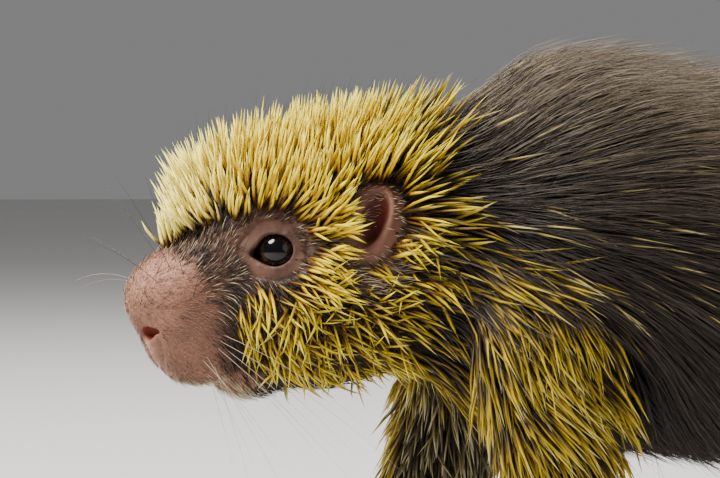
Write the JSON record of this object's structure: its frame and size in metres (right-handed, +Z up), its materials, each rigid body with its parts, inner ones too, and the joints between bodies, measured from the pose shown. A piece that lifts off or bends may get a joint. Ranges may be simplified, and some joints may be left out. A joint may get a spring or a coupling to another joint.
{
  "type": "hairy dwarf porcupine model",
  "caption": "Life-size still model of a standing hairy dwarf porcupine with yellow quills on head and forequarters, dark long fur and a tail laid on the floor.",
  "frame": {"origin": "on the floor under the middle of the animal's bounding box", "axes": "+Z up, the animal faces -Y, its left side is +X"},
  "size_m": [0.1646, 0.454, 0.1819],
  "materials": {
    "muzzle_skin": "soft pink-brown bare skin with fine fuzz",
    "yellow_quills": "smooth keratin quills, yellow with pale and dark ends",
    "dark_fur": "long silky dark brown fur",
    "paw_skin": "ridged dark bare skin",
    "claw": "smooth horn",
    "eye": "wet dark brown"
  },
  "bodies": {
    "root": {"claw_forefoot_left_1": "claw", "claw_forefoot_left_2": "claw", "claw_forefoot_left_3": "claw", "claw_forefoot_left_4": "claw", "claw_forefoot_right_1": "claw", "claw_forefoot_right_2": "claw", "claw_forefoot_right_3": "claw", "claw_forefoot_right_4": "claw", "claw_hindfoot_left_1": "claw", "claw_hindfoot_left_2": "claw", "claw_hindfoot_left_3": "claw", "claw_hindfoot_left_4": "claw", "claw_hindfoot_right_1": "claw", "claw_hindfoot_right_2": "claw", "claw_hindfoot_right_3": "claw", "claw_hindfoot_right_4": "claw", "ear_left": "muzzle_skin", "ear_right": "muzzle_skin", "eye_left": "eye", "eye_right": "eye", "forebody": "dark_fur", "forefoot_left": "paw_skin", "forefoot_right": "paw_skin", "foreleg_left_lower": "dark_fur", "foreleg_left_upper": "yellow_quills", "foreleg_right_lower": "dark_fur", "foreleg_right_upper": "yellow_quills", "head": "yellow_quills", "hindbody": "dark_fur", "hindfoot_left": "paw_skin", "hindfoot_right": "paw_skin", "hindleg_left_lower": "dark_fur", "hindleg_left_upper": "dark_fur", "hindleg_right_lower": "dark_fur", "hindleg_right_upper": "dark_fur", "lower_jaw": "muzzle_skin", "muzzle": "muzzle_skin", "neck": "yellow_quills", "tail_base": "dark_fur", "tail_middle": "dark_fur", "tail_tip": "paw_skin"}
  },
  "joints": []
}
